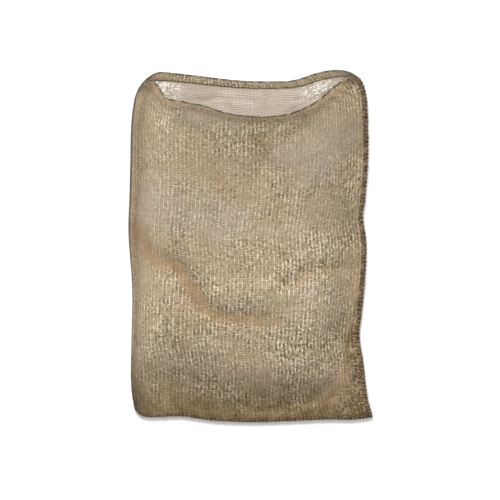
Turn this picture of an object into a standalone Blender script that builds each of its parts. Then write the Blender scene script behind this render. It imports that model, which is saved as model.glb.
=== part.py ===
"""A hessian race sack lying on its back with its mouth propped a little open.

One length of hessian is folded down the left side. The right side and the bottom are
closed by a jute twine that is overcast round the two raw edges, and the mouth has a
turned-in hem with two rows of thread. X is the sack's width, +Y points to the mouth
and +Z is up. The origin is on the ground, in the middle of the sack's footprint.
"""

import math

import bmesh
import bpy
from mathutils import Vector

# Cloth and thread
CLOTH = 0.002
GAP = 0.0003
TWINE = 0.0024
THREAD = 0.0016
STITCH = 0.010
HOLE = TWINE + 2.6 * GAP
HOLE_DEPTH = 0.02

# Seams and hem. The ends are how far the stitches stop short of a raw edge's two ends,
# and the stops are how far across a layer the hem and its threads run
FLANGE = 0.015
HOLE_INSET = 0.011
SIDE_SEAM_ENDS = (0.026, 0.016)
BOTTOM_SEAM_ENDS = (0.050, 0.026)
HEM = 0.022
HEM_STOP = 0.92
HEM_THREAD_STOP = 0.87
HEM_STITCH = 0.7

# How far the sack is puffed out, and how high its edges lie
BODY_RISE = 0.070
MOUTH_RISE = 0.098
MOUTH_REACH = 0.28
FOLD_HEIGHT = 0.020
SEAM_HEIGHT = 0.010
RIM_LIFT = 0.0035
FOLD_GAP = 0.0012

# How far in from an edge each change of height reaches
FOLD_HEIGHT_REACH = 0.10
SEAM_HEIGHT_REACH = 0.08
FOLD_GAP_REACH = 0.03
FRONT_FOLD_REACH = 0.09
FRONT_SIDE_REACH = 0.11
FRONT_BOTTOM_REACH = 0.10
BACK_REACH = 0.05
RIM_LIFT_REACH = 0.04

# The finished sack's size inside its seams, used to place features in from an edge
WIDTH = 0.59
LENGTH = 0.86

# The outline seen from above, as points along each edge, and the middle of its box
CENTRE = (0.0050, 0.0013)
LEFT_FOLD = (
    (-0.286, -0.383), (-0.294, -0.333), (-0.291, -0.133), (-0.300, 0.043),
    (-0.294, 0.218), (-0.281, 0.368), (-0.266, 0.408),
)
RIGHT_SEAM = (
    (0.311, -0.425), (0.287, -0.303), (0.277, -0.215), (0.290, -0.070),
    (0.286, 0.080), (0.298, 0.218), (0.296, 0.356), (0.283, 0.415), (0.260, 0.434),
)
BOTTOM_SEAM = (
    (-0.286, -0.383), (-0.271, -0.411), (-0.240, -0.426), (-0.120, -0.431),
    (0.004, -0.438), (0.204, -0.431), (0.311, -0.425),
)
BACK_RIM = (
    (-0.266, 0.408), (-0.218, 0.436), (-0.120, 0.424), (0.050, 0.414),
    (0.150, 0.430), (0.233, 0.443), (0.260, 0.434),
)
FRONT_RIM = (
    (-0.266, 0.408), (-0.222, 0.408), (-0.190, 0.374), (-0.080, 0.346),
    (0.024, 0.325), (0.120, 0.346), (0.200, 0.388), (0.260, 0.434),
)

# Where the cloth is divided into faces, across the sack and along it
ACROSS = (0.0, 0.008, 0.024, 0.05, 0.09, 0.15, 0.23, 0.32, 0.42, 0.52, 0.62, 0.71, 0.79,
          0.86, 0.915, 0.952, 0.974, 1.0)
ALONG = (0.0, 0.018, 0.04, 0.07, 0.11, 0.16, 0.22, 0.29, 0.36, 0.43, 0.50, 0.57, 0.64,
         0.71, 0.77, 0.83, 0.88, 0.92, 0.95, 0.975, 1.0)

HESSIAN = (0.445, 0.355, 0.242)
HEM_TAN = (0.37, 0.30, 0.20)
TWINE_BROWN = (0.20, 0.13, 0.07)
THREAD_TAN = (0.36, 0.27, 0.16)


def clear_scene():
    for item in list(bpy.data.objects):
        bpy.data.objects.remove(item, do_unlink=True)


def new_collection(name):
    group = bpy.data.collections.new(name)
    bpy.context.scene.collection.children.link(group)
    return group


def fabric(name, colour, roughness=0.9):
    material = bpy.data.materials.new(name)
    material.use_nodes = True
    shader = material.node_tree.nodes["Principled BSDF"]
    shader.inputs["Base Color"].default_value = (*colour, 1)
    shader.inputs["Roughness"].default_value = roughness
    shader.inputs["Metallic"].default_value = 0
    return material


def along_path(points, share):
    """The place at a share of the length of a smooth curve through the points."""
    places = [Vector((x - CENTRE[0], y - CENTRE[1], 0)) for x, y in points]
    steps = [(b - a).length for a, b in zip(places, places[1:])]
    left = min(max(share, 0), 1) * sum(steps)
    span = 0
    while span < len(steps) - 1 and left > steps[span]:
        left -= steps[span]
        span += 1
    u = left / steps[span]
    b, c = places[span : span + 2]
    a = places[span - 1] if span else 2 * b - c
    d = places[span + 2] if span + 2 < len(places) else 2 * c - b
    bend = (2 * a - 5 * b + 4 * c - d) * u * u + (3 * b - a - 3 * c + d) * u ** 3
    return 0.5 * (2 * b + (c - a) * u + bend)


def plan(across, along, rim):
    """The place in plan inside the four edges, blended from them as a Coons patch."""
    low, high = along_path(BOTTOM_SEAM, across), along_path(rim, across)
    left, right = (
        along_path(edge, along)
        - along_path(edge, 0).lerp(along_path(edge, 1), along)
        for edge in (LEFT_FOLD, RIGHT_SEAM)
    )
    return low.lerp(high, along) + left.lerp(right, across)


def ease(distance, reach):
    """A smooth step from 0 to 1 over reach."""
    u = min(max(distance / reach, 0), 1)
    return u * u * (3 - 2 * u)


def bulge(distance, reach):
    """A quarter ellipse from 0 to 1 over reach, upright where it starts."""
    u = min(max(distance / reach, 0), 1)
    return math.sqrt(1 - (1 - u) ** 2)


def edge_distances(across, along):
    """How far a point is from the fold, the side seam, the bottom seam and the rim."""
    return across * WIDTH, (1 - across) * WIDTH, along * LENGTH, (1 - along) * LENGTH


def edge_height(fold, bottom):
    """The height that the two layers close at: higher along the fold than at a seam."""
    lift = (1 - ease(fold, FOLD_HEIGHT_REACH)) * ease(bottom - FLANGE, SEAM_HEIGHT_REACH)
    return SEAM_HEIGHT + (FOLD_HEIGHT - SEAM_HEIGHT) * lift


def half_gap(fold):
    """From the closing height to the middle of either layer, wider beside the fold."""
    return CLOTH / 2 + GAP + FOLD_GAP * (1 - ease(fold, FOLD_GAP_REACH))


def front_surface(across, along):
    """The middle of the upper layer."""
    fold, side, bottom, rim = edge_distances(across, along)
    low = edge_height(fold, bottom) + half_gap(fold)
    mouth = 1 - ease(rim, MOUTH_REACH)
    top = BODY_RISE + (MOUTH_RISE - BODY_RISE) * mouth * math.sin(math.pi * across) ** 0.7
    open_side = bulge(fold, FRONT_FOLD_REACH) * ease(side - FLANGE, FRONT_SIDE_REACH) ** 0.8
    shape = open_side * ease(bottom - FLANGE, FRONT_BOTTOM_REACH) ** 0.7
    place = plan(across, along, FRONT_RIM)
    place.z = low + (top - low) * shape
    return place


def back_surface(across, along):
    """The middle of the lower layer, which lies on the ground away from its edges."""
    fold, side, bottom, rim = edge_distances(across, along)
    low = CLOTH / 2 + RIM_LIFT * (1 - ease(rim - HEM, RIM_LIFT_REACH))
    top = edge_height(fold, bottom) - half_gap(fold)
    open_side = bulge(fold, BACK_REACH) * ease(side - FLANGE, BACK_REACH)
    flat = open_side * ease(bottom - FLANGE, BACK_REACH)
    place = plan(across, along, BACK_RIM)
    place.z = top + (low - top) * flat
    return place


def inward(surface, across, along, up):
    """The direction into the sack, square to a layer. up is 1 on the back layer."""
    step = 0.004
    a = surface(max(across - step, 0), along)
    b = surface(min(across + step, 1), along)
    c = surface(across, max(along - step, 0))
    d = surface(across, min(along + step, 1))
    return up * (b - a).cross(d - c).normalized()


def sheet_mesh(name, rows):
    """An open surface through rows of points."""
    mesh = bpy.data.meshes.new(name)
    build = bmesh.new()
    grid = [[build.verts.new(point) for point in row] for row in rows]
    for low, high in zip(grid, grid[1:]):
        for i in range(len(low) - 1):
            build.faces.new((low[i], low[i + 1], high[i + 1], high[i]))
    bmesh.ops.recalc_face_normals(build, faces=build.faces)
    build.to_mesh(mesh)
    build.free()
    return mesh


def cloth_piece(name, rows, material, group):
    piece = bpy.data.objects.new(name, sheet_mesh(name, rows))
    group.objects.link(piece)
    piece.data.materials.append(material)
    thick = piece.modifiers.new("cloth_thickness", "SOLIDIFY")
    thick.thickness = CLOTH
    thick.offset = 0
    thick.use_even_offset = False
    return piece


def panel(name, surface, material, group):
    rows = [[surface(across, along) for across in ACROSS] for along in ALONG]
    return cloth_piece(name, rows, material, group)


def round_mouth(offset, last, share):
    """Points round the mouth, from the side seam round the fold to the seam again.

    offset is how far they stand in from the middle of the cloth, last is where they
    stop short of the side seam, and share is how far up the hem they are.
    """
    stations = [across for across in ACROSS if across <= last]
    layers = [(back_surface, across, 1) for across in reversed(stations)]
    layers += [(front_surface, across, -1) for across in stations]
    points = []
    for surface, across, up in layers:
        low, high = (
            surface(across, along) + offset * inward(surface, across, along, up)
            for along in ALONG[-2:]
        )
        points.append(low.lerp(high, share))
    return points


def mouth_hem(material, group):
    """The turned-in edge, one strip of cloth inside the mouth."""
    inset = CLOTH + 3 * GAP
    rows = [round_mouth(inset, HEM_STOP, share) for share in (0, 1)]
    return cloth_piece("mouth_hem", rows, material, group)


def tube(name, points, thickness, material, group):
    curve = bpy.data.curves.new(name, "CURVE")
    curve.dimensions = "3D"
    curve.bevel_depth = thickness / 2
    curve.bevel_resolution = 0
    curve.use_fill_caps = True
    line = curve.splines.new("POLY")
    line.points.add(len(points) - 1)
    for spot, point in zip(line.points, points):
        spot.co = (*point, 1)
    piece = bpy.data.objects.new(name, curve)
    group.objects.link(piece)
    curve.materials.append(material)
    return piece


def seam_stations(edge, ends):
    """Places every half stitch along a raw edge, each with the way into the cloth."""
    start, end = ends
    spans = list(zip(edge, edge[1:]))
    total = sum((b - a).length for a, b in spans)
    stations = []
    reached = 0
    place = start
    for a, b in spans:
        ahead = (b - a).normalized()
        while place <= min(reached + (b - a).length, total - end):
            spot = a + (place - reached) * ahead
            stations.append((spot, Vector((-ahead.y, ahead.x, 0))))
            place += STITCH / 2
        reached += (b - a).length
    return stations


def overcast(stations):
    """A twine that goes up through each hole, over the raw edge and back underneath."""
    over = CLOTH + GAP + TWINE / 2 + GAP
    points = []
    for k in range(0, len(stations) - 1, 2):
        (hole_edge, into), (turn, turn_in) = stations[k], stations[k + 1]
        hole = hole_edge + HOLE_INSET * into
        outside = turn - (TWINE / 2 + 2 * GAP) * turn_in
        points += [
            hole - over * Vector((0, 0, 1)),
            hole + over * Vector((0, 0, 1)),
            outside + over * Vector((0, 0, 1)),
            outside - over * Vector((0, 0, 1)),
        ]
    return points


def needle_holes(name, stations, group):
    """One square prism for each hole, to be cut from both layers."""
    build = bmesh.new()
    for hole_edge, into in stations[::2]:
        made = bmesh.ops.create_cube(build, size=1)
        bmesh.ops.scale(build, verts=made["verts"], vec=(HOLE, HOLE, HOLE_DEPTH))
        bmesh.ops.translate(build, verts=made["verts"], vec=hole_edge + HOLE_INSET * into)
    mesh = bpy.data.meshes.new(name)
    build.to_mesh(mesh)
    build.free()
    cutter = bpy.data.objects.new(name, mesh)
    group.objects.link(cutter)
    cutter.hide_render = True
    cutter.display_type = "WIRE"
    return cutter


def cut(piece, cutter):
    hole = piece.modifiers.new(cutter.name, "BOOLEAN")
    hole.operation = "DIFFERENCE"
    hole.object = cutter


def main():
    clear_scene()
    parts = new_collection("race_sack")
    cutters = new_collection("race_sack_cutters")

    front = panel("front_panel", front_surface, fabric("front_hessian", HESSIAN), parts)
    back = panel("back_panel", back_surface, fabric("back_hessian", HESSIAN), parts)
    mouth_hem(fabric("hem_hessian", HEM_TAN), parts)

    level = Vector((0, 0, SEAM_HEIGHT))
    side_edge = [along_path(RIGHT_SEAM, along) + level for along in ALONG]
    bottom_edge = [along_path(BOTTOM_SEAM, across) + level for across in ACROSS]
    side = seam_stations(side_edge, SIDE_SEAM_ENDS)
    bottom = seam_stations(bottom_edge, BOTTOM_SEAM_ENDS)
    for name, stations in (("side_seam", side), ("bottom_seam", bottom)):
        holes = needle_holes(name + "_needle_holes", stations, cutters)
        cut(front, holes)
        cut(back, holes)
        twine = fabric(name + "_jute_twine", TWINE_BROWN)
        tube(name + "_twine", overcast(stations), TWINE, twine, parts)

    outside = CLOTH / 2 + 2 * GAP + THREAD / 2
    inside = outside + CLOTH + 3 * GAP
    for name, offset in (("hem_needle_thread", -outside), ("hem_looper_thread", inside)):
        row = round_mouth(offset, HEM_THREAD_STOP, HEM_STITCH)
        tube(name, row, THREAD, fabric(name + "_jute", THREAD_TAN), parts)


main()
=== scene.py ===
"""Looks for a hessian race sack that lies on its back with its mouth a little open.

The sack is one rectangle of cloth, folded at its left side and sewn with an overcast
jute twine down its right side and along its bottom. It is sculpted as that one sheet,
settled by a cloth simulation, and given its hem, seams, stitches and loose fibres.
Lengths are metres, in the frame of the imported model: +X to the sewn side, +Y to the
mouth, +Z up.
"""

import math

import bpy
import numpy as np
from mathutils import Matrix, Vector, noise
from mathutils.bvhtree import BVHTree


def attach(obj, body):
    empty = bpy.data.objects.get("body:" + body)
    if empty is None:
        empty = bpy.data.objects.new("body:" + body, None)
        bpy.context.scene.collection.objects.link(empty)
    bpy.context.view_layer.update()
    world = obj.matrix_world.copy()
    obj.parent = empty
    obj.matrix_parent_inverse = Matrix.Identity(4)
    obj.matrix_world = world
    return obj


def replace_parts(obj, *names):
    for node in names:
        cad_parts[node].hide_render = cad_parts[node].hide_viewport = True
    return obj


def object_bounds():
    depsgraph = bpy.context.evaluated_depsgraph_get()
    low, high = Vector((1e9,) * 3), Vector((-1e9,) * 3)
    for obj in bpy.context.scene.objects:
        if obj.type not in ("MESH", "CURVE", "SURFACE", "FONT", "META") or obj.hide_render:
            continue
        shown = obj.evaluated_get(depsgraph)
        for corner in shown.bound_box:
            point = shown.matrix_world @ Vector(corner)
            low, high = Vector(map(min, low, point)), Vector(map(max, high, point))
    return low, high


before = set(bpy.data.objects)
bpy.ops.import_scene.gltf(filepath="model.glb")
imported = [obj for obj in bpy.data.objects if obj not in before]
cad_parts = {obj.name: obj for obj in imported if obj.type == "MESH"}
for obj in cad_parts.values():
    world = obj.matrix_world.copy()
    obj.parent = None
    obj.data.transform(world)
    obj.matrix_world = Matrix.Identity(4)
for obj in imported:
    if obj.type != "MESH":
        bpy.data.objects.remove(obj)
CAD_LOW, CAD_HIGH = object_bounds()
MIDDLE = (CAD_LOW + CAD_HIGH) / 2

# Where the camera's eye is, over the middle of the sack, how wide its picture is on the
# floor, and its sensor in millimetres. The outline is given as seen from the eye
EYE = 3.0
SIGHT = np.array([MIDDLE.x - 0.0012, MIDDLE.y - 0.009])
SENSOR = 36
FIELD = 1.25

# The cloth: the sack's flat size, the cloth's thickness, the yarns' spacing, and how far
# the middle of the upper layer stays above the lower one
WIDTH = 0.61
LENGTH = 0.90
CLOTH = 0.0010
YARN = 0.0047
LAYER_GAP = 0.0014

# The hem: its depth, how far its turned layer lies from the outer one, and how far the
# lower layer is lifted off the ground to make room for it
HEM = 0.023
TURN = 0.0013
HEM_LIFT = 0.0025

# The flat flange beside the sewn edges. The side's is wide near the bottom corner: the
# shares of its length at which it is fully wide, starts to narrow, and takes to narrow
FLANGE = 0.010
WIDE_FLANGE = 0.032
WIDE_FROM = 0.05
WIDE_TO = 0.14
WIDE_FADES = 0.22

# The gathers that the stitches pull into the flange: how far apart they are, how high, and
# how far from the edge they start and end
PUCKER = 0.021
PUCKER_HEIGHT = 0.0022
PUCKER_NEAR = 0.008
PUCKER_FAR = 0.055

# The seams' twine: its thickness, the length of its twist, the stitches' pitch, where the
# stitches start and stop, and how deep they go. The side's depth is a share of its flange
SIDE_TWINE = 0.0028
BOTTOM_TWINE = 0.8 * SIDE_TWINE
TWINE_TWIST = 0.006
STITCH = 0.010
WRAP_STEPS = 12
EDGE_STEP = 0.001
SIDE_ENDS = (0.012, 0.010)
BOTTOM_ENDS = (0.012, 0.014)
SIDE_BITE = 0.62
BOTTOM_BITE = 0.006

# The hem's threads: thickness, twist and pitch, how far below the rim they run, how far
# from the mouth's ends they stop, and how far a stitch dips into the cloth
THREAD = 0.0012
THREAD_TWIST = 0.0035
HEM_STITCH = 0.0085
HEM_STITCH_INSET = 0.016
HEM_THREAD_END = 0.02
HEM_THREAD_STEP = 0.0008
HEM_THREAD_DIP = 0.0002

# A direction that no thread runs along, to tell its sides apart
ODD_WAY = (0.31, 0.17, 0.93)

# The two plies of a twine, as shares of its thickness: their radius, how much it varies,
# and how far each lies from the twine's middle
PLY_RADIUS = 0.27
PLY_SWELL = 0.03
PLY_AWAY = 0.24

# Loose hairs: the steps along each, how many there are, and their radii
HAIR_STEPS = 5
SIDE_HAIRS = 260
BOTTOM_HAIRS = 130
RIM_HAIRS = 260
FACE_HAIRS = 900
EDGE_HAIR = 0.00028
RIM_HAIR = 0.0002
FACE_HAIR = 0.00016

# How far the sack is puffed out. The mouth is higher, over MOUTH_REACH. The belly and the
# waist are given by how far from the bottom they are and how wide
BODY_RISE = 0.078
MOUTH_RISE = 0.098
MOUTH_REACH = 0.24
BELLY_RISE = 0.010
BELLY = (0.24, 0.12)
WAIST_DIP = 0.007
WAIST = (0.58, 0.16)

# How high the edges lie, over which distances the fold's height fades towards the middle
# and the bottom, and half the distance between the two layers' middles at a seam
FOLD_HEIGHT = 0.017
SEAM_HEIGHT = 0.0072
FOLD_FADES = 0.10
FOLD_FADES_LOW = 0.08
LAYER_SPREAD = 0.0012

# Over what distance from an edge the upper layer's lumps and folds come in, and over what
# distance it climbs from each edge: from the fold over more near the rim, and from the
# bottom steeply at first, over more on the left, and then gently
EDGE_CALM = 0.03
FOLD_CLIMB = 0.12
CORNER_CLIMB = 0.03
CORNER_REACH = 0.12
SEAM_CLIMB = 0.13
LEFT_STEEP_CLIMB = 0.23
RIGHT_STEEP_CLIMB = 0.150
GENTLE_CLIMB = 0.34
STEEP_SHARE = 0.60

# How far from the fold and from the seams the lower layer comes down to the ground
FOLD_DROP = 0.05
SEAM_DROP = 0.06

# Lumps in the upper layer and ripples in the lower one: how high, how wide, and the seed
LUMPS = ((0.0032, 0.11, 1.0), (0.0014, 0.045, 2.0))
RIPPLES = (0.004, 0.09, 5.0)

# Mesh resolution: places round the cloth, from raw edge to raw edge, and up it, the step
# up it, and the places that its plan and the lines of its folds are worked out at
ROUND = 249
UP = 181
STEP_UP = LENGTH / (UP - 1)
PLAN_SAMPLES = 400
LINE_SAMPLES = 48

# Cloth simulation, on every second place of the mesh: how much the cloth grows, how far a
# place may move, and how much of the folds is pressed in again where it lies high enough
SIM_STEP = 2
SIM_FRAMES = 30
SIM_CLEARANCE = 0.001
GROWTH = 0.03
PRESSURE = 0.25
SIM_CAP = 0.016
KEPT_FOLDS = 0.45
KEPT_ABOVE = 0.05

# The outline seen from above, as (x, y) points along each edge
LEFT_FOLD = (
    (-0.291, -0.384), (-0.2985, -0.334), (-0.297, -0.230), (-0.295, -0.134),
    (-0.297, -0.070), (-0.300, -0.035), (-0.305, 0.042), (-0.302, 0.130),
    (-0.300, 0.217), (-0.298, 0.300), (-0.291, 0.362), (-0.282, 0.390), (-0.272, 0.407),
)
RIGHT_SEAM = (
    (0.306, -0.427), (0.294, -0.385), (0.288, -0.345), (0.282, -0.290), (0.272, -0.222),
    (0.277, -0.170), (0.283, -0.110), (0.288, -0.040), (0.288, 0.020), (0.280, 0.078),
    (0.286, 0.118), (0.293, 0.217), (0.293, 0.300), (0.291, 0.356), (0.286, 0.393),
    (0.275, 0.418), (0.255, 0.433),
)
BOTTOM_SEAM = (
    (-0.291, -0.384), (-0.288, -0.408), (-0.260, -0.426), (-0.176, -0.424),
    (-0.101, -0.434), (0.000, -0.439), (0.100, -0.436), (0.199, -0.432),
    (0.250, -0.433), (0.306, -0.427),
)
BACK_RIM = (
    (-0.272, 0.407), (-0.258, 0.422), (-0.239, 0.433), (-0.218, 0.436), (-0.150, 0.429),
    (-0.026, 0.415), (0.074, 0.413), (0.116, 0.418), (0.166, 0.434), (0.205, 0.441),
    (0.234, 0.440), (0.255, 0.433),
)
FRONT_RIM = (
    (-0.272, 0.407), (-0.256, 0.416), (-0.240, 0.4125), (-0.229, 0.402), (-0.219, 0.3875),
    (-0.208, 0.3765), (-0.171, 0.371), (-0.111, 0.359), (-0.059, 0.342), (-0.001, 0.334),
    (0.040, 0.333), (0.080, 0.337), (0.124, 0.350), (0.164, 0.370), (0.198, 0.394),
    (0.220, 0.407), (0.238, 0.423), (0.255, 0.433),
)

# Folds in the upper layer: points along each, its depth (a ridge is negative), the
# width of its steep upper wall and of its gentle lower one
MAIN_VALLEY = (
    (-0.306, 0.050), (-0.283, 0.036), (-0.246, -0.020), (-0.214, -0.038), (-0.177, -0.053),
    (-0.140, -0.105), (-0.114, -0.148), (-0.076, -0.170), (-0.034, -0.179), (0.062, -0.183),
)
RIGHT_VALLEY = (
    (0.070, -0.110), (0.104, -0.086), (0.150, -0.062), (0.209, -0.051), (0.262, -0.045),
)
FLANGE_LINE = ((0.248, -0.190), (0.240, -0.250), (0.236, -0.300), (0.236, -0.346))
EAR_LINE = ((0.236, -0.346), (0.208, -0.366), (0.188, -0.388), (0.180, -0.425))
DIMPLE = ((0.012, 0.285), (0.028, 0.215), (0.030, 0.150))
FOLDS = (
    (MAIN_VALLEY, 0.0092, 0.024, 0.030),
    (((-0.080, -0.110), (0.010, -0.118), (0.100, -0.110)), -0.006, 0.030, 0.034),
    (RIGHT_VALLEY, 0.0062, 0.018, 0.020),
    (DIMPLE, 0.008, 0.026, 0.026),
    (((0.225, 0.385), (0.180, 0.330), (0.120, 0.290)), 0.008, 0.024, 0.040),
    (((-0.205, 0.372), (-0.185, 0.315), (-0.130, 0.265)), 0.006, 0.026, 0.034),
    (((-0.260, -0.330), (-0.140, -0.350), (-0.020, -0.340)), 0.006, 0.030, 0.020),
    (FLANGE_LINE, 0.010, 0.011, 0.011),
    (EAR_LINE, 0.010, 0.011, 0.011),
    (((0.090, -0.395), (0.150, -0.382), (0.205, -0.345)), 0.008, 0.012, 0.014),
)

# Where the cloth is darkened along a fold, partly by stain and partly by painted shade: the line, how
# strongly and how widely
CREASES = (
    (MAIN_VALLEY, 1.0, 0.019), (RIGHT_VALLEY, 0.4, 0.015), (DIMPLE, 0.35, 0.030),
    (FLANGE_LINE, 1.0, 0.006), (EAR_LINE, 0.8, 0.008),
)


# ---------------------------------------------------------------- smooth shapes
def spline(points, share):
    """Places at shares, from 0 to 1, of a smooth curve's length through the points."""
    p = np.array(points, float)
    p = np.vstack([2 * p[0] - p[1], p, 2 * p[-1] - p[-2]])
    steps = np.linalg.norm(np.diff(p[1:-1], axis=0), axis=1)
    reach = np.concatenate([[0], np.cumsum(steps)])
    at = np.clip(share, 0, 1) * reach[-1]
    k = np.clip(np.searchsorted(reach, at, side="right") - 1, 0, len(steps) - 1)
    u = ((at - reach[k]) / steps[k])[..., None]
    return through(p[k], p[k + 1], p[k + 2], p[k + 3], u)


def through(a, b, c, d, u):
    """The share u of a smooth curve from b to c, with a before them and d after."""
    bend = (2 * a - 5 * b + 4 * c - d) * u**2 + (3 * b - a - 3 * c + d) * u**3
    return 0.5 * (2 * b + (c - a) * u + bend)


def ease(distance, reach):
    """A smooth step from 0 to 1 over reach."""
    u = np.clip(distance / reach, 0, 1)
    return u * u * (3 - 2 * u)


def bulge(distance, reach):
    """A quarter ellipse from 0 to 1 over reach, upright where it starts."""
    return np.sqrt(1 - (1 - np.clip(distance / reach, 0, 1)) ** 2)


def swell(distance, middle, reach):
    """A smooth hump from 0 to 1 and back, with its top at middle."""
    return np.exp(-(((distance - middle) / reach) ** 2))


def mix(a, b, share):
    return a + (b - a) * share


def unit(vectors):
    return vectors / np.maximum(np.linalg.norm(vectors, axis=-1, keepdims=True), 1e-12)


def distances(line):
    """How far along a line each of its places is."""
    return np.concatenate([[0], np.cumsum(np.linalg.norm(np.diff(line, axis=0), axis=1))])


def read_at(at, reach, values):
    """Vectors given at the distances reach, read at the distances at."""
    return np.stack([np.interp(at, reach, values[:, i]) for i in range(3)], -1)


def plan(across, along, rim):
    """Places inside the four edges, blended from them as a Coons patch."""
    low, high = spline(BOTTOM_SEAM, across), spline(rim, across)
    left, right = (
        spline(edge, along) - mix(np.array(edge[0]), np.array(edge[-1]), along[..., None])
        for edge in (LEFT_FOLD, RIGHT_SEAM)
    )
    return mix(low, high, along[..., None]) + mix(left, right, across[..., None])


def rough(x, y, size, seed):
    """Smooth noise from about -1 to 1 with lumps about size wide."""
    flat = zip(np.ravel(x) / size, np.ravel(y) / size)
    values = [noise.noise(Vector((a, b, seed))) for a, b in flat]
    return np.reshape(values, np.shape(x))


def fold_depth(x, y):
    """How far the folds push the upper layer down."""
    depth = np.zeros_like(x)
    for points, deep, steep, gentle in FOLDS:
        away, above, share = from_line(points, x, y)
        wide = np.where(above > 0, steep, gentle)
        depth += deep * fade_out(share) * swell(away, 0, wide)
    return depth


def crease_tint(x, y):
    """How dark the cloth is painted along the creases, from 0 to 1: partly stain, partly painted
    shade.
    """
    tint = np.zeros_like(x)
    for points, strong, wide in CREASES:
        away, _, share = from_line(points, x, y)
        tint = np.maximum(tint, strong * fade_out(share) * swell(away, 0, wide))
    return tint


def from_line(points, x, y):
    """How far places are from a line, how far above it, and the share along it."""
    share = np.linspace(0, 1, LINE_SAMPLES)
    line = spline(points, share)
    gap = np.stack([x[..., None] - line[:, 0], y[..., None] - line[:, 1]], -1)
    away = np.linalg.norm(gap, axis=-1)
    nearest = away.argmin(-1)
    above = np.take_along_axis(gap[..., 1], nearest[..., None], -1)[..., 0]
    return away.min(-1), above, share[nearest]


def fade_out(share):
    """1 along the middle of a line, less towards both its ends."""
    return np.sin(np.pi * (0.10 + 0.80 * share)) ** 0.7


def edge_distances(across, along):
    return across * WIDTH, (1 - across) * WIDTH, along * LENGTH, (1 - along) * LENGTH


def under_eye(place, z):
    """The point at height z that the eye sees at a place in the outline's plan."""
    return SIGHT + (place - SIGHT) * ((EYE - z) / EYE)[..., None]


def side_flange(along):
    """The width of the flat seam beside the sewn edge: wide near the bottom corner."""
    low = ease(along, WIDE_FROM) * (1 - ease(along - WIDE_TO, WIDE_FADES))
    return FLANGE + (WIDE_FLANGE - FLANGE) * low


def closing_height(fold, bottom):
    """The height that the two layers close at: higher along the fold than at a seam."""
    lift = (1 - ease(fold, FOLD_FADES)) * ease(bottom - FLANGE, FOLD_FADES_LOW)
    return SEAM_HEIGHT + (FOLD_HEIGHT - SEAM_HEIGHT) * lift


def front_layer(across, along):
    """The upper layer, before it settles."""
    fold, side, bottom, rim = edge_distances(across, along)
    place = plan(across, along, FRONT_RIM)
    x, y = place[..., 0], place[..., 1]
    low = closing_height(fold, bottom) + LAYER_SPREAD * ease(fold, 0.02)
    mouth = (1 - ease(rim, MOUTH_REACH)) * np.sin(np.pi * across) ** 0.9
    belly = BELLY_RISE * swell(bottom, *BELLY) - WAIST_DIP * swell(bottom, *WAIST)
    top = BODY_RISE + belly + (MOUTH_RISE - BODY_RISE) * mouth
    corner = 1 - ease(rim, CORNER_REACH)
    seam = side - side_flange(along)
    by_fold = 1 - (1 - np.clip(fold / (FOLD_CLIMB + CORNER_CLIMB * corner), 0, 1)) ** 2.2
    by_seam = ease(seam, SEAM_CLIMB) ** (0.72 + 0.5 * corner)
    steep_climb = mix(LEFT_STEEP_CLIMB, RIGHT_STEEP_CLIMB, ease(across - 0.25, 0.30))
    by_bottom = STEEP_SHARE * ease(bottom - FLANGE, steep_climb)
    by_bottom += (1 - STEEP_SHARE) * ease(bottom, GENTLE_CLIMB) ** 0.8
    lumps = sum(high * rough(x, y, size, seed) for high, size, seed in LUMPS)
    inner = ease(seam + 0.01, EDGE_CALM) * ease(bottom - FLANGE, EDGE_CALM) * ease(fold, EDGE_CALM)
    z = low + (top - low) * by_fold * by_seam * by_bottom + (lumps - fold_depth(x, y)) * inner
    z = np.maximum(z, low) + np.abs(puckers(across, along, x, y))
    return np.concatenate([under_eye(place, z), z[..., None]], -1)


def puckers(across, along, x, y):
    """The small gathers that the stitches pull into the cloth beside a seam."""
    side, bottom = edge_distances(across, along)[1:3]
    along_seam = np.where(side < bottom, along * LENGTH, across * WIDTH)
    gather = np.sin(2 * np.pi * along_seam / PUCKER + 5 * rough(x, y, 0.06, 3.0))
    nearest = np.minimum(side, bottom)
    near_seam = ease(nearest, PUCKER_NEAR) * (1 - ease(nearest, PUCKER_FAR))
    return PUCKER_HEIGHT * (gather + rough(x, y, 0.016, 8.0)) * near_seam


def back_layer(across, along):
    """The lower layer, which lies on the ground away from its edges."""
    fold, side, bottom, rim = edge_distances(across, along)
    place = plan(across, along, BACK_RIM)
    x, y = place[..., 0], place[..., 1]
    ground = CLOTH / 2 + HEM_LIFT * (1 - ease(rim - HEM, 0.04))
    top = closing_height(fold, bottom) - LAYER_SPREAD * ease(fold, 0.02)
    seam = side - side_flange(along)
    flat = bulge(fold, FOLD_DROP) * ease(seam, SEAM_DROP) * ease(bottom - FLANGE, SEAM_DROP)
    high, size, seed = RIPPLES
    ripple = high * np.maximum(rough(x, y, size, seed), 0) * ease(rim, 0.03)
    z = mix(top, ground + ripple * (1 - ease(rim, 0.25)), flat)
    return np.concatenate([under_eye(place, z), z[..., None]], -1)


def spread(row, count):
    """The same line of places, evenly spaced."""
    reach = distances(row)
    return read_at(np.linspace(0, reach[-1], count), reach, row)


def sheet_places():
    """The cloth as rows of places, bottom to rim, each from the back's raw edge at the
    side seam, round the fold in the middle, to the front's raw edge."""
    across, up = np.meshgrid(np.linspace(0, 1, PLAN_SAMPLES), np.linspace(0, 1, UP))
    half = ROUND // 2 + 1
    rows = []
    for back, front in zip(back_layer(across, up), front_layer(across, up)):
        rows.append(np.concatenate([spread(back[::-1], half), spread(front, half)[1:]]))
    return np.array(rows)


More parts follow.
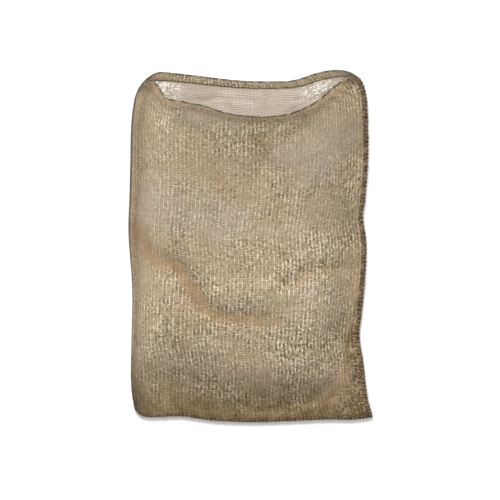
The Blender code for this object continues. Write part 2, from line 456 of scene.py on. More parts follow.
def settle(places):
    """Lets the cloth slump and buckle a little by simulation. Its seams are held."""
    coarse = places[::SIM_STEP, ::SIM_STEP]
    cloth = grid_object("sim_cloth", coarse)
    hold(cloth, *coarse.shape[:2])
    ground = grid_object("sim_floor", square(1.0))
    ground.modifiers.new("collide", "COLLISION")
    ground.collision.thickness_outer = SIM_CLEARANCE
    make_cloth(cloth)
    scene = bpy.context.scene
    for number in range(1, SIM_FRAMES + 1):
        scene.frame_set(number)
    done = cloth.evaluated_get(bpy.context.evaluated_depsgraph_get()).to_mesh()
    after = np.empty(coarse.size)
    done.vertices.foreach_get("co", after)
    scene.frame_set(1)
    for item in (cloth, ground):
        bpy.data.objects.remove(item, do_unlink=True)
    moved = after.reshape(coarse.shape) - coarse
    far = np.linalg.norm(moved, axis=-1, keepdims=True)
    moved *= SIM_CAP * np.tanh(far / SIM_CAP) / np.maximum(far, 1e-9)
    settled = places + refine(moved, places.shape)
    keep_folds(settled[:, ROUND // 2:])
    return settled


def hold(cloth, rows, columns):
    """Marks how firmly each place is held, and that only the upper layer has slack.

    The grip of an edge fades over a few places of the coarse mesh.
    """
    held = cloth.vertex_groups.new(name="held")
    slack = cloth.vertex_groups.new(name="slack")
    for j in range(rows):
        for i in range(columns):
            by_seam = 1 - min(i, columns - 1 - i) / 3
            by_bottom = 1 - j / 3
            by_fold = 0.7 - abs(i - columns // 2) / 4
            by_rim = 0.3 - (rows - 1 - j) / 12
            grip = max(by_seam, by_bottom, by_fold, by_rim, 0)
            held.add([j * columns + i], min(grip * 1.2, 1), "REPLACE")
            slack.add([j * columns + i], float(i > columns // 2), "REPLACE")


def make_cloth(piece):
    """Adds the cloth simulation. A little growth gives the slack that buckles."""
    modifier = piece.modifiers.new("cloth", "CLOTH")
    how = modifier.settings
    how.quality = 6
    how.mass = 0.3
    how.tension_stiffness = how.compression_stiffness = 25
    how.shear_stiffness = 6
    how.bending_stiffness = 1.2
    how.air_damping = 3
    how.vertex_group_mass = "held"
    how.pin_stiffness = 4
    how.vertex_group_shrink = "slack"
    how.shrink_min = 0
    how.shrink_max = -GROWTH
    how.use_pressure = True
    how.uniform_pressure_force = PRESSURE
    hits = modifier.collision_settings
    hits.distance_min = SIM_CLEARANCE
    hits.use_self_collision = False


def keep_folds(upper):
    """Presses part of the folds' depth into the settled upper layer again."""
    high_enough = np.minimum(upper[..., 2] / KEPT_ABOVE, 1)
    upper[..., 2] -= KEPT_FOLDS * fold_depth(upper[..., 0], upper[..., 1]) * high_enough


def rest_on_back(places):
    """Lifts the upper layer wherever it would sink into the lower one, past the fold."""
    half = places.shape[1] // 2
    back = grid_mesh("back_only", places[:, :half + 1])
    corners = [vertex.co for vertex in back.vertices]
    tree = BVHTree.FromPolygons(corners, [tuple(face.vertices) for face in back.polygons])
    bpy.data.meshes.remove(back)
    for j in range(places.shape[0]):
        for i in range(half + 4, places.shape[1] - 1):
            x, y, z = places[j, i]
            hit = tree.ray_cast(Vector((x, y, 1.0)), Vector((0, 0, -1)))[0]
            if hit is not None:
                places[j, i, 2] = max(z, hit.z + LAYER_GAP)


def refine(coarse, shape):
    """A coarse grid of values read smoothly at every place of the fine grid."""
    j = np.arange(shape[0]) / SIM_STEP
    i = np.arange(shape[1]) / SIM_STEP
    down = np.stack([cubic(coarse[:, k], j) for k in range(coarse.shape[1])], axis=1)
    return np.stack([cubic(down[k], i) for k in range(shape[0])], axis=0)


def cubic(values, at):
    """A smooth curve through evenly spaced values, read at the places at."""
    v = np.concatenate([2 * values[:1] - values[1:2], values, 2 * values[-1:] - values[-2:-1]])
    k = np.clip(at.astype(int), 0, len(values) - 2)
    u = (at - k)[:, None]
    return through(v[k], v[k + 1], v[k + 2], v[k + 3], u)


def grid_mesh(name, places, uv=None):
    """A mesh of four-sided faces through rows of places."""
    rows, columns = places.shape[:2]
    index = np.arange(rows * columns).reshape(rows, columns)
    quads = np.stack([index[:-1, :-1], index[:-1, 1:], index[1:, 1:], index[1:, :-1]], -1)
    quads = quads.reshape(-1, 4)
    mesh = bpy.data.meshes.new(name)
    mesh.from_pydata(places.reshape(-1, 3).tolist(), [], quads.tolist())
    if uv is not None:
        layer = mesh.uv_layers.new(name="flat_cloth")
        layer.data.foreach_set("uv", uv.reshape(-1, 2)[quads.reshape(-1)].ravel())
    mesh.shade_smooth()
    return mesh


def grid_object(name, places, uv=None):
    piece = bpy.data.objects.new(name, grid_mesh(name, places, uv))
    bpy.context.scene.collection.objects.link(piece)
    return piece


def square(reach):
    """A level square round the origin, as rows of places."""
    return np.array([[[x, y, 0] for x in (-reach, reach)] for y in (-reach, reach)], float)


def outward(places):
    """Unit vectors square to the cloth, out of the sack."""
    return unit(np.cross(np.gradient(places, axis=1), np.gradient(places, axis=0)))


# ---------------------------------------------------------------- thread and twine
def ways_across(line):
    """Two unit vectors square to a line, and to each other, at each of its places."""
    ahead = unit(np.gradient(line, axis=0))
    side = unit(np.cross(ahead, ODD_WAY))
    return side, np.cross(side, ahead)


def tube_mesh(name, strands, sides=6):
    """One mesh of closed round tubes. Each strand is its places and its radii."""
    vertices, faces = [], []
    turn = np.linspace(0, 2 * np.pi, sides, endpoint=False)[:, None]
    for places, radii in strands:
        side, over = ways_across(places)
        ring = np.cos(turn) * side[:, None] + np.sin(turn) * over[:, None]
        points = places[:, None] + ring * np.broadcast_to(radii, len(places))[:, None, None]
        first, count = len(vertices), len(places)
        vertices += points.reshape(-1, 3).tolist()
        for low in range(first, first + (count - 1) * sides, sides):
            for i in range(sides):
                j = (i + 1) % sides
                faces.append((low + i, low + j, low + sides + j, low + sides + i))
        faces.append(tuple(range(first + sides - 1, first - 1, -1)))
        faces.append(tuple(range(first + (count - 1) * sides, first + count * sides)))
    mesh = bpy.data.meshes.new(name)
    mesh.from_pydata(vertices, [], faces)
    mesh.shade_smooth()
    return mesh


def resample(line, step):
    """The same line with evenly spaced places, about step apart."""
    reach = distances(line)
    return read_at(np.linspace(0, reach[-1], max(int(reach[-1] / step), 2) + 1), reach, line)


def plies(line, thickness, twist):
    """The strands of a two-ply twine along a line, with its plies twisted together."""
    line = resample(line, thickness / 2)
    side, over = ways_across(line)
    angle = np.arange(len(line)) * thickness / 2 / twist * 2 * np.pi
    strands = []
    for start in (0, np.pi):
        away = np.cos(angle + start)[:, None] * side + np.sin(angle + start)[:, None] * over
        radius = thickness * (PLY_RADIUS + PLY_SWELL * np.sin(1.7 * angle + start))
        strands.append((line + away * thickness * PLY_AWAY, radius))
    return strands


def mesh_piece(name, mesh, material):
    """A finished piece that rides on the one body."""
    piece = bpy.data.objects.new(name, mesh)
    bpy.context.scene.collection.objects.link(piece)
    piece.data.materials.append(material)
    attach(piece, "root")
    return piece


def seam_edge(one, other, into_one):
    """The middle of two raw edges, the way into the cloth, and up, at every EDGE_STEP."""
    middle = resample((one + other) / 2, EDGE_STEP)
    inner = resample(into_one, EDGE_STEP)
    inner = read_at(np.linspace(0, 1, len(middle)), np.linspace(0, 1, len(inner)), inner)
    ahead = unit(np.gradient(middle, axis=0))
    into = inner - middle
    into = unit(into - (into * ahead).sum(1, keepdims=True) * ahead)
    up = np.cross(ahead, into)
    return middle, into, up * np.sign(up[:, 2:])


def overcast(edge, ends, bite, thickness):
    """The route of a twine sewn round and round a raw edge, between the ends."""
    middle, into, up = edge
    start, stop = ends
    count = int((len(middle) * EDGE_STEP - start - stop) / STITCH)
    route = []
    for wrap in range(count):
        deep = bite(wrap / count) * dice.uniform(0.6, 1.2)
        slant = dice.uniform(-0.30, 0.30)
        shift = dice.uniform(-0.14, 0.14)
        tall = CLOTH + LAYER_SPREAD + thickness * dice.uniform(0.48, 0.62)
        for step in range(WRAP_STEPS):
            turn = step / WRAP_STEPS
            angle = 2 * np.pi * turn
            at = start + (wrap + shift + turn + slant * math.sin(angle)) * STITCH
            k = int(np.clip(at / EDGE_STEP, 0, len(middle) - 1))
            reach = deep / 2 - (deep / 2 + thickness * 0.5) * math.cos(angle)
            route.append(middle[k] + into[k] * reach + up[k] * tall * math.sin(angle))
    return smooth_line(np.array(route))


def smooth_line(places):
    padded = np.vstack([places[:1], places, places[-1:]])
    return 0.25 * padded[:-2] + 0.5 * padded[1:-1] + 0.25 * padded[2:]


def fibres(roots, ways, lengths, radius, curl):
    """Fine curling hairs, each from its root along its way."""
    strands = []
    for root, way, length in zip(roots, ways, lengths):
        bend = dice.normal(0, curl, 3)
        places = [root]
        for _ in range(HAIR_STEPS):
            way = unit(way + bend / HAIR_STEPS)
            places.append(places[-1] + way * length / HAIR_STEPS)
        places = np.array(places)
        places[:, 2] = np.maximum(places[:, 2], radius)
        strands.append((places, radius * np.linspace(1, 0.45, HAIR_STEPS + 1)))
    return strands


# ---------------------------------------------------------------- materials
class Wire:
    """A node's output that can be added, multiplied and so on as a number."""

    def __init__(self, tree, socket):
        self.tree, self.socket = tree, socket

    def math(self, operation, *others):
        node = self.tree.nodes.new("ShaderNodeMath")
        node.operation = operation
        for slot, value in zip(node.inputs, (self, *others)):
            feed(self.tree, slot, value)
        return Wire(self.tree, node.outputs[0])

    def __add__(self, other):
        return self.math("ADD", other)

    def __sub__(self, other):
        return self.math("SUBTRACT", other)

    def __mul__(self, other):
        return self.math("MULTIPLY", other)

    def band(self, low, high, a=0.0, b=1.0):
        """Read smoothly from a at low to b at high."""
        node = self.tree.nodes.new("ShaderNodeMapRange")
        node.interpolation_type = "SMOOTHSTEP"
        for slot, value in zip(node.inputs, (self, low, high, a, b)):
            feed(self.tree, slot, value)
        return Wire(self.tree, node.outputs[0])


def feed(tree, slot, value):
    if isinstance(value, Wire):
        tree.links.new(value.socket, slot)
    else:
        slot.default_value = value


def noise_wire(tree, place, scale, detail=2.0, kind="ShaderNodeTexNoise"):
    """Noise at a place. White noise has no scale and no detail."""
    node = tree.nodes.new(kind)
    feed(tree, node.inputs["Vector"], place)
    if kind == "ShaderNodeTexNoise":
        node.inputs["Scale"].default_value = scale
        node.inputs["Detail"].default_value = detail
    return Wire(tree, node.outputs[0])


def place_wire(tree, x, y, z=0.0):
    node = tree.nodes.new("ShaderNodeCombineXYZ")
    for slot, value in zip(node.inputs, (x, y, z)):
        feed(tree, slot, value)
    return Wire(tree, node.outputs[0])


def blend_colour(tree, share, a, b, mode="MIX"):
    """The colour a with a share of b blended over it."""
    node = tree.nodes.new("ShaderNodeMix")
    node.data_type = "RGBA"
    node.blend_type = mode
    feed(tree, node.inputs["Factor"], share)
    for slot, value in zip((node.inputs[6], node.inputs[7]), (a, b)):
        feed(tree, slot, value if isinstance(value, Wire) else (*value, 1))
    return Wire(tree, node.outputs[2])


def fabric_shader(name, roughness, sheen):
    material = bpy.data.materials.new(name)
    material.use_nodes = True
    shader = material.node_tree.nodes["Principled BSDF"]
    shader.inputs["Roughness"].default_value = roughness
    shader.inputs["Specular IOR Level"].default_value = 0.18
    shader.inputs["Sheen Weight"].default_value = sheen
    shader.inputs["Sheen Roughness"].default_value = 0.6
    return material, material.node_tree, shader


def bump(tree, shader, height, distance):
    node = tree.nodes.new("ShaderNodeBump")
    node.inputs["Strength"].default_value = 1.0
    node.inputs["Distance"].default_value = distance
    feed(tree, node.inputs["Height"], height)
    tree.links.new(node.outputs[0], shader.inputs["Normal"])


# The scales of the noise that thickens the yarns, and of their single hairs
SLUBS = 80.0
HAIRS = 300.0

# The cloth's marks. u runs round the flat cloth from one raw side to the other, with the
# fold at WIDTH, and v up it from the raw bottom. Each reach is from where a mark starts to
# change to where it stops, in metres
PLAINER_AT_FOLD = (0.03, 0.16)
PLAINER_AT_BOTTOM = (0.03, 0.12)
PLAINER_AT_TOP = (0.3, 0.75)
MAUVE_ABOVE = (0.2, 0.45)
WORN_AND_SHADED_BOTTOM = (0.03, 0.17)
DARKER_SIDE = (0.03, 0.16)
STAINED_AND_SHADED_BOTTOM = (0.02, 0.065)
SHADED_FOLD = (0.01, 0.09)
SEAM_DIRT_FADES = (0.12, 0.36)
SEAM_DIRT_LOW = 0.056
SEAM_DIRT_HIGH = 0.020
EAR_DIRT = (0.07, 0.14)
HEM_SHADOW = (-0.018, 0.0)
HEM_HIGHLIGHT_LINE = (0.008, 0.016)
RIM_LINE = (0.002, 0.0085)
FOLD_LINE = (0.004, 0.012)
RAW_LINE = (0.004, 0.013)

# The corners darkened with painted shade: where each is on the flat cloth, and how far the shade
# reaches
CORNERS = (
    (WIDTH, LENGTH, 0.070), (WIDTH - 0.020, LENGTH + 0.004, 0.042),
    (WIDTH + 0.052, LENGTH, 0.014), (WIDTH, 0.0, 0.085), (0.0, 0.0, 0.035),
    (2 * WIDTH, 0.0, 0.035), (2 * WIDTH, LENGTH, 0.055), (0.0, LENGTH, 0.040),
)

# Where the inside is flecked with painted light, at the mouth's ends: how far from the fold
# and from the raw side, over what reach round each of these it fades, and how high up it starts
PALE_FROM_FOLD = 0.090
PALE_FROM_SIDE = 0.120
PALE_NEAR_FOLD = (0.02, 0.055)
PALE_NEAR_SIDE = (0.02, 0.06)
PALE_NEAR_RIM = (LENGTH - 0.09, LENGTH - 0.05)

# Colours that tint or cover the cloth
RUST = (0.43, 0.29, 0.20)
OLIVE = (0.33, 0.29, 0.15)
MAUVE = (0.44, 0.36, 0.30)
# A painted highlight along the hem
HEM_HIGHLIGHT = (0.62, 0.40, 0.25)
# Painted shade in the low places between the yarns
SHADE_BETWEEN_YARNS = (0.075, 0.055, 0.033)
DARK_SPECK = (0.05, 0.032, 0.018)
PALE_SPECK = (0.62, 0.46, 0.30)
# Painted shade at the rim, the fold and the corners, and the dark of the raw edges
EDGE_DARK = (0.045, 0.032, 0.019)

# Colours that it is multiplied by: painted shade under the hem and round the fold, and darker
# colour towards the bottom and along the creases that is partly stain and partly painted shade
HEM_SHADE = (0.55, 0.47, 0.36)
FOLD_SHADE = (0.60, 0.55, 0.55)
BOTTOM_SHADE = (0.55, 0.53, 0.40)
CREASE_SHADE = (0.72, 0.58, 0.41)


class Weave:
    """The parts of plain-woven cloth that its colour and its bump are made from."""

    def __init__(self, tree):
        self.tree = tree
        uv = tree.nodes.new("ShaderNodeUVMap")
        uv.uv_map = "flat_cloth"
        parts = tree.nodes.new("ShaderNodeSeparateXYZ")
        tree.links.new(uv.outputs[0], parts.inputs[0])
        creased = tree.nodes.new("ShaderNodeAttribute")
        creased.attribute_name = "crease"
        self.flat = Wire(tree, uv.outputs[0])
        self.u, self.v = Wire(tree, parts.outputs[0]), Wire(tree, parts.outputs[1])
        self.crease = Wire(tree, creased.outputs["Fac"])
        self.from_fold = (self.u - WIDTH).math("ABSOLUTE")
        self.from_side = self.u.math("MINIMUM", self.u * -1.0 + 2 * WIDTH)
        self.lay_yarns()

    def noise(self, scale, detail):
        return noise_wire(self.tree, self.flat, scale, detail)

    def noise_at(self, x, y, z, scale, detail=2.0):
        return noise_wire(self.tree, place_wire(self.tree, x, y, z), scale, detail)

    def lay_yarns(self):
        """Yarns that wander, each with its own tone and its thick and thin stretches.

        A yarn's number is multiplied, so that its noise is unlike its neighbours'.
        """
        u, v = self.u, self.v
        sway = self.noise(40.0, 1.0) - 0.5
        lean = self.noise_at(v, u, 3.0, 40.0, 1.0) - 0.5
        warp = (u + sway * (1.1 * YARN)) * (1 / YARN)
        weft = (v + lean * (1.6 * YARN)) * (1 / YARN)
        warp_number, weft_number = warp.math("FLOOR"), weft.math("FLOOR")
        warp_slub = self.noise_at(warp_number * 7.31, v * SLUBS, 0.0, 1.0)
        weft_slub = self.noise_at(u * SLUBS, weft_number * 5.17, 9.0, 1.0)
        self.across = (warp * math.pi).math("SINE")
        along = (weft * math.pi).math("SINE")
        crossing = self.across * along * 0.42
        warp_top = self.across.math("ABSOLUTE") * warp_slub.band(0.25, 0.75, 0.72, 1.18) + crossing
        weft_top = along.math("ABSOLUTE") * weft_slub.band(0.25, 0.75, 0.72, 1.18) - crossing
        over = (warp_top - weft_top).band(-0.15, 0.15)
        under = over * -1.0 + 1.0
        yarns = place_wire(self.tree, warp_number, weft_number)
        self.cell = noise_wire(self.tree, yarns, 1.0, kind="ShaderNodeTexWhiteNoise")
        self.height = warp_top.math("MAXIMUM", weft_top)
        self.tone = (warp_slub * over + weft_slub * under).band(0.3, 0.7, -0.5, 0.5)
        hair = self.noise_at(u * 3.2, v * 0.9, 0.0, HAIRS)
        hair_across = self.noise_at(u * 0.9, v * 3.2, 0.0, HAIRS)
        self.fibre = hair * over + hair_across * under

    def strength(self, contrast):
        """How strongly the yarns stand out: less at the fold, the ends and the creases."""
        patchy = self.noise(8.0, 2.0).band(0.35, 0.65, 0.62 * contrast, 1.12 * contrast)
        patchy = patchy * self.v.band(*PLAINER_AT_TOP, 1.06, 0.82)
        patchy = patchy * self.from_fold.band(*PLAINER_AT_FOLD, 0.62, 1.0)
        patchy = patchy * self.v.band(*PLAINER_AT_BOTTOM, 0.72, 1.0)
        return patchy * self.crease.band(0.2, 0.9, 1.0, 0.5)

    def seam_dirt(self):
        """Dirt along the raw sides, over a wider band near the bottom."""
        reach = self.v.band(*SEAM_DIRT_FADES, SEAM_DIRT_LOW, SEAM_DIRT_HIGH)
        return self.from_side.band(reach * 0.4, reach, 1.0, 0.0)


def yarn_colour(weave, tan, pale, dark, contrast):
    """The clean cloth's colour, from the whole of it down to single fibres, with painted shade between
    the yarns.
    """
    tree, u, v, cell = weave.tree, weave.u, weave.v, weave.cell
    strength = weave.strength(contrast)
    texture = weave.tone * 0.26 + (cell - 0.5) * 0.86
    texture = texture + weave.across * 0.25 + (weave.fibre - 0.5) * 0.7
    patch, drift = weave.noise(26.0, 4.0) - 0.5, weave.noise(5.0, 3.0) - 0.5
    light = texture * strength + patch * 0.35 + drift * 0.35 + 0.5
    colour = blend_colour(tree, light.band(-0.2, 0.55), dark, tan)
    colour = blend_colour(tree, light.band(0.5, 1.2), colour, pale)
    rust = weave.noise(11.0, 3.0).band(0.48, 0.72, 0.0, 0.4)
    colour = blend_colour(tree, rust, colour, RUST)
    olive = weave.noise_at(v, u, 5.0, 13.0, 3.0).band(0.5, 0.72, 0.0, 0.35)
    colour = blend_colour(tree, olive, colour, OLIVE)
    bark = cell.band(0.962, 0.968) * strength.band(0.3, 0.9)
    colour = blend_colour(tree, bark * 0.75, colour, dark)
    mauve = weave.noise_at(u, v, 8.0, 6.0).band(0.48, 0.66, 0.0, 0.4)
    colour = blend_colour(tree, mauve * v.band(*MAUVE_ABOVE, 0.15, 1.0), colour, MAUVE)
    # Painted shade: the low places between the yarns are darkened
    yarn_gap_shade = weave.height.band(0.3, 0.85, 1.0 - 0.75 * contrast, 1.0)
    return blend_colour(tree, yarn_gap_shade, SHADE_BETWEEN_YARNS, colour)


def painted_light_flecks(weave, colour, pale, fleck):
    """Pale flecks of painted light on the inside, at both ends of the mouth."""
    near_fold = (weave.from_fold - PALE_FROM_FOLD).math("ABSOLUTE").band(*PALE_NEAR_FOLD, 1.0, 0.0)
    near_side = (weave.from_side - PALE_FROM_SIDE).math("ABSOLUTE").band(*PALE_NEAR_SIDE, 1.0, 0.0)
    flecked = near_fold.math("MAXIMUM", near_side) * weave.v.band(*PALE_NEAR_RIM)
    return blend_colour(weave.tree, flecked * weave.cell.band(0.45, 0.8) * fleck, colour, pale)


def dirt_and_painted_shade(weave, colour, stain):
    """Painted shade under the hem and round the fold, dirt at the seams, darkening at the bottom and
    the creases that is partly stain and partly painted shade, darker raw sides, specks, and a painted
    highlight along the hem.
    """
    tree, v, from_side, cell = weave.tree, weave.v, weave.from_side, weave.cell
    mottle = weave.noise(30.0, 3.0).band(0.25, 0.7, 0.5, 1.0)
    # Painted shadow under the hem's turned edge
    under_hem = (v - (LENGTH - HEM)).band(*HEM_SHADOW, 0.0, 0.4)
    under_hem = under_hem * v.band(LENGTH - HEM, LENGTH, 1.0, 0.0)
    colour = blend_colour(tree, under_hem, colour, HEM_SHADE, "MULTIPLY")
    # Painted shade where the cloth turns away round the fold
    folded = weave.from_fold.band(*SHADED_FOLD, 0.6, 0.0)
    colour = blend_colour(tree, folded, colour, FOLD_SHADE, "MULTIPLY")
    seamed = weave.seam_dirt()
    # Dirt along the seams, darker towards the raw sides, and darker towards the bottom: partly wear,
    # partly painted shade
    dirt_and_shade = v.band(*WORN_AND_SHADED_BOTTOM, 1.0, 0.0).math("MAXIMUM", seamed)
    dirt_and_shade = dirt_and_shade.math("MAXIMUM", from_side.band(*DARKER_SIDE, 0.3, 0.0))
    colour = blend_colour(tree, dirt_and_shade * mottle, colour, stain, "MULTIPLY")
    # Darker still near the bottom: partly stain, partly painted shade
    low = v.band(*STAINED_AND_SHADED_BOTTOM, 0.5, 0.0)
    colour = blend_colour(tree, low, colour, BOTTOM_SHADE, "MULTIPLY")
    ear = (from_side * from_side + v * v).math("SQRT").band(*EAR_DIRT, 0.9, 0.0)
    speckled = seamed.math("MAXIMUM", ear)
    colour = blend_colour(tree, cell.band(0.76, 0.80) * speckled * 0.8, colour, DARK_SPECK)
    colour = blend_colour(tree, cell.band(0.20, 0.16) * speckled * 0.32, colour, PALE_SPECK)
    # Darker along the creases: partly stain, partly painted shade
    colour = blend_colour(tree, weave.crease * mottle, colour, CREASE_SHADE, "MULTIPLY")
    # Painted highlight: pale warm dots along the middle of the hem
    hem_highlight = (v - (LENGTH - HEM / 2)).math("ABSOLUTE").band(*HEM_HIGHLIGHT_LINE, 0.32, 0.0)
    return blend_colour(tree, hem_highlight * cell.band(0.2, 0.8), colour, HEM_HIGHLIGHT)


def dark_edges_and_corners(weave, colour):
    """Broken dark lines of painted shade along the rim and the fold, broken dark lines along the raw
    edges, and dark corners of painted shade.
    """
    u, v = weave.u, weave.v
    broken = weave.noise(60.0, 2.0).band(0.36, 0.6, 0.3, 1.0)
    # Painted shade along the rim and the fold; the raw edges are only darker
    rim = (v - (LENGTH + TURN / 2)).math("ABSOLUTE").band(*RIM_LINE, 1.0, 0.0)
    raw = weave.from_side.math("MINIMUM", v).band(*RAW_LINE, 0.85, 0.0)
    edge_darkening = (rim * broken).math("MAXIMUM", weave.from_fold.band(*FOLD_LINE, 0.85, 0.0))
    edge_darkening = edge_darkening.math("MAXIMUM", raw * broken)
    less_broken = broken.band(0.3, 1.0, 0.65, 1.0)
    for corner_u, corner_v, reach in CORNERS:
        beside, above = u - corner_u, v - corner_v
        away = (beside * beside + above * above).math("SQRT")
        edge_darkening = edge_darkening.math("MAXIMUM", away.band(reach * 0.15, reach, 0.95, 0.0) * less_broken)
    return blend_colour(weave.tree, edge_darkening, colour, EDGE_DARK)


def hessian(name, tan, pale, dark, stain, contrast, fleck=0.0):
    """Coarse plain-woven jute, with the dirt and wear of a used sack, and painted shade and highlights
    on it.
    """
    material, tree, shader = fabric_shader(name, 0.88, 0.06)
    weave = Weave(tree)
    colour = yarn_colour(weave, tan, pale, dark, contrast)
    colour = painted_light_flecks(weave, colour, pale, fleck)
    colour = dirt_and_painted_shade(weave, colour, stain)
    colour = dark_edges_and_corners(weave, colour)
    tree.links.new(colour.socket, shader.inputs["Base Color"])
    feed(tree, shader.inputs["Roughness"], weave.fibre.band(0.2, 0.8, 0.95, 0.74))
    bump(tree, shader, weave.height + weave.fibre * 0.5, 0.0011)
    return material


def jute(name, pale, dark, scale):
    """Hairy twisted jute thread or twine. The scale is of its fibres."""
    material, tree, shader = fabric_shader(name, 0.85, 0.10)
    place = Wire(tree, tree.nodes.new("ShaderNodeTexCoord").outputs["Object"])
    tone = noise_wire(tree, place, 90.0, 3.0)
    fibre = noise_wire(tree, place, scale, 3.0)
    share = tone * 0.5 + fibre * 0.8 - 0.15
    colour = blend_colour(tree, share.band(0.25, 0.8), dark, pale)
    tree.links.new(colour.socket, shader.inputs["Base Color"])
    feed(tree, shader.inputs["Roughness"], fibre.band(0.2, 0.8, 0.95, 0.75))
    bump(tree, shader, fibre, 0.0003)
    return material


OUTER = hessian(
    "hessian_outside", tan=(0.412, 0.322, 0.205), pale=(0.75, 0.665, 0.49),
    dark=(0.12, 0.086, 0.048), stain=(0.42, 0.35, 0.235), contrast=0.98,
)
# The inside is painted paler and plainer than the outside: painted light on the inside of the mouth
INNER = hessian(
    "hessian_inside", tan=(0.55, 0.472, 0.385), pale=(0.95, 0.92, 0.87),
    dark=(0.32, 0.26, 0.20), stain=(0.60, 0.48, 0.36), contrast=0.36, fleck=0.8,
)
TWINE_JUTE = jute("jute_twine", pale=(0.47, 0.29, 0.16), dark=(0.075, 0.040, 0.021), scale=700.0)
THREAD_JUTE = jute("hem_thread_jute", pale=(0.52, 0.42, 0.28), dark=(0.20, 0.145, 0.085), scale=1500.0)
FIBRE_JUTE = jute("loose_jute", pale=(0.66, 0.55, 0.38), dark=(0.30, 0.21, 0.12), scale=600.0)


# ---------------------------------------------------------------- the sack
cloth_places = sheet_places()
cloth_places = settle(cloth_places)
cloth_places[..., 2] = np.maximum(cloth_places[..., 2], CLOTH / 2)
rest_on_back(cloth_places)


def with_hem(places):
    """The cloth with its top edge turned in over the rim, and its flat coordinates."""
    out = outward(places)
    deep = int(round(HEM / STEP_UP))
    over_rim = unit(places[-1] - places[-2]) * TURN * 0.4 - out[-1] * TURN * 0.5
    turned = [places[-1] + over_rim]
    for k in range(deep + 1):
        away = TURN * (1.05 + 0.2 * math.sin(k)) if k < deep else CLOTH * 1.05
        turned.append(places[-1 - k] - out[-1 - k] * away)
    whole = np.concatenate([places, np.array(turned)])
    whole[..., 2] = np.maximum(whole[..., 2], CLOTH / 2)
    hem_v = LENGTH + TURN + np.arange(deep + 1) * STEP_UP
    v = np.concatenate([np.linspace(0, LENGTH, UP), [LENGTH + TURN / 2], hem_v])
    return whole, np.stack(np.meshgrid(np.linspace(0, 2 * WIDTH, ROUND), v), -1)


hemmed, flat_cloth = with_hem(cloth_places)
sack = grid_object("sack_cloth", hemmed, flat_cloth)
crease_darkening = np.zeros(hemmed.shape[:2])
upper = slice(ROUND // 2, None)
crease_darkening[:UP, upper] = crease_tint(cloth_places[:, upper, 0], cloth_places[:, upper, 1])
sack.data.attributes.new("crease", "FLOAT", "POINT").data.foreach_set("value", crease_darkening.ravel())
sack.data.materials.append(OUTER)
sack.data.materials.append(INNER)
thick = sack.modifiers.new("cloth_thickness", "SOLIDIFY")
thick.thickness = CLOTH
thick.offset = 0
thick.material_offset = 1
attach(sack, "root")
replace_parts(sack, "front_panel", "back_panel", "mouth_hem")

dice = np.random.default_rng(7)
half = ROUND // 2
side_edge = seam_edge(cloth_places[:, -1], cloth_places[:, 0], cloth_places[:, -5])
bottom_edge = seam_edge(cloth_places[0, half:], cloth_places[0, half::-1], cloth_places[4, half:])
side_route = overcast(side_edge, SIDE_ENDS, lambda share: SIDE_BITE * side_flange(share), SIDE_TWINE)
bottom_route = overcast(bottom_edge, BOTTOM_ENDS, lambda share: BOTTOM_BITE, BOTTOM_TWINE)
for node, route, thickness in (
    ("side_seam_twine", side_route, SIDE_TWINE),
    ("bottom_seam_twine", bottom_route, BOTTOM_TWINE),
):
    mesh = tube_mesh(node, plies(route, thickness, TWINE_TWIST))
    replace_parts(mesh_piece("sewn_" + node, mesh, TWINE_JUTE), node)


def hem_stitches(inside):
    """A thread round the mouth that shows as a row of stitches on one side of the hem."""
    low = UP - 1 - int(HEM_STITCH_INSET / STEP_UP)
    line, out = cloth_places[low], outward(cloth_places)[low]
    reach = distances(line)
    at = np.arange(HEM_THREAD_END, reach[-1] - HEM_THREAD_END, HEM_THREAD_STEP)
    line, out = read_at(at, reach, line), read_at(at, reach, out)
    wave = 2.5 * np.sin(2 * np.pi * at / HEM_STITCH)
    proud = CLOTH / 2 + THREAD * 0.35
    if inside:
        dip = (proud + HEM_THREAD_DIP) * np.clip(-wave, 0, 1)[:, None]
        return line - out * (TURN + proud - dip)
    dip = (proud + HEM_THREAD_DIP) * np.clip(wave, 0, 1)[:, None]
    return line + out * (proud - dip)


for node, inside in (("hem_needle_thread", False), ("hem_looper_thread", True)):
    mesh = tube_mesh(node, plies(hem_stitches(inside), THREAD, THREAD_TWIST), sides=5)
    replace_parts(mesh_piece("sewn_" + node, mesh, THREAD_JUTE), node)


def edge_hairs(edge, count):
    """Hairs and frayed yarn ends along a raw edge. One in four is longer."""
    middle, into = edge[:2]
    k = dice.integers(5, len(middle) - 5, count)
    ways = -into[k] + dice.normal(0, 0.7, (count, 3)) * (1, 1, 0.5)
    lengths = dice.uniform(0.003, 0.009, count) * dice.choice([1, 1, 1, 2.2], count)
    return fibres(middle[k], ways, lengths, EDGE_HAIR, 1.2)


def rim_hairs(out, count):
    """Hairs that stand up from the rim."""
    k = dice.integers(3, ROUND - 3, count)
    ways = out[-1, k] * 0.4 + (cloth_places[-1, k] - cloth_places[-2, k]) / STEP_UP
    ways += dice.normal(0, 0.8, ways.shape)
    return fibres(cloth_places[-1, k], ways, dice.uniform(0.003, 0.008, count), RIM_HAIR, 1.5)


def face_hairs(out, count):
    """Hairs all over the outside of the cloth."""
    j, i = dice.integers(4, UP - 4, count), dice.integers(4, ROUND - 4, count)
    ways = out[j, i] * 0.5 + dice.normal(0, 0.6, (count, 3))
    return fibres(cloth_places[j, i], ways, dice.uniform(0.003, 0.007, count), FACE_HAIR, 1.5)


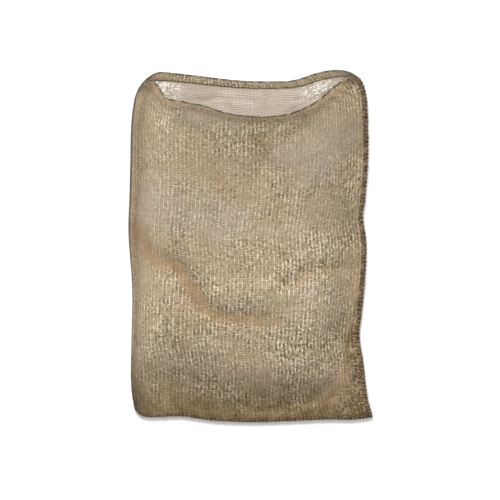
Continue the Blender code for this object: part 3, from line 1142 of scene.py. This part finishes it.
hairs = edge_hairs(side_edge, SIDE_HAIRS) + edge_hairs(bottom_edge, BOTTOM_HAIRS)
hairs += rim_hairs(outward(cloth_places), RIM_HAIRS)
hairs += face_hairs(outward(cloth_places), FACE_HAIRS)
mesh_piece("loose_fibres", tube_mesh("loose_fibres", hairs, sides=3), FIBRE_JUTE)


# ---------------------------------------------------------------- stage, camera and lights
FLOOR_REACH = 60
FLOOR_GAP = 0.0002
floor = grid_object("floor", square(FLOOR_REACH))
floor.location.z = CAD_LOW.z - FLOOR_GAP
paper = bpy.data.materials.new("white_paper")
paper.use_nodes = True
paper_inputs = paper.node_tree.nodes["Principled BSDF"].inputs
paper_inputs["Base Color"].default_value = (0.93, 0.93, 0.93, 1)
paper_inputs["Roughness"].default_value = 0.9
floor.data.materials.append(paper)

camera = bpy.data.objects.new("camera", bpy.data.cameras.new("camera"))
bpy.context.scene.collection.objects.link(camera)
camera.data.sensor_width = SENSOR
camera.data.lens = SENSOR * EYE / FIELD
camera.location = (*SIGHT, EYE)
bpy.context.scene.camera = camera


def sun(name, direction, strength, softness):
    """Even light from a direction, the same all over the floor. Softness is in degrees."""
    light = bpy.data.lights.new(name, "SUN")
    light.energy = strength
    light.angle = math.radians(softness)
    piece = bpy.data.objects.new(name, light)
    bpy.context.scene.collection.objects.link(piece)
    piece.rotation_euler = (-Vector(direction)).to_track_quat("-Z", "Y").to_euler()


sun("key", direction=(-0.22, 1.0, 0.75), strength=3.7, softness=24)
sun("fill", direction=(0.1, 0.1, 1.0), strength=0.8, softness=90)


def studio_world(horizon, zenith):
    """White walls near the horizon, and a dimmer ceiling, so that shapes keep their shade."""
    world = bpy.data.worlds.new("studio")
    world.use_nodes = True
    tree = world.node_tree
    place = tree.nodes.new("ShaderNodeTexCoord")
    parts = tree.nodes.new("ShaderNodeSeparateXYZ")
    tree.links.new(place.outputs["Generated"], parts.inputs[0])
    rise = Wire(tree, parts.outputs[2]).band(0.30, 0.60, horizon, zenith)
    feed(tree, tree.nodes["Background"].inputs["Strength"], rise)
    tree.nodes["Background"].inputs["Color"].default_value = (1, 1, 1, 1)
    bpy.context.scene.world = world


studio_world(horizon=1.05, zenith=0.30)
bpy.context.scene.view_settings.view_transform = "Standard"
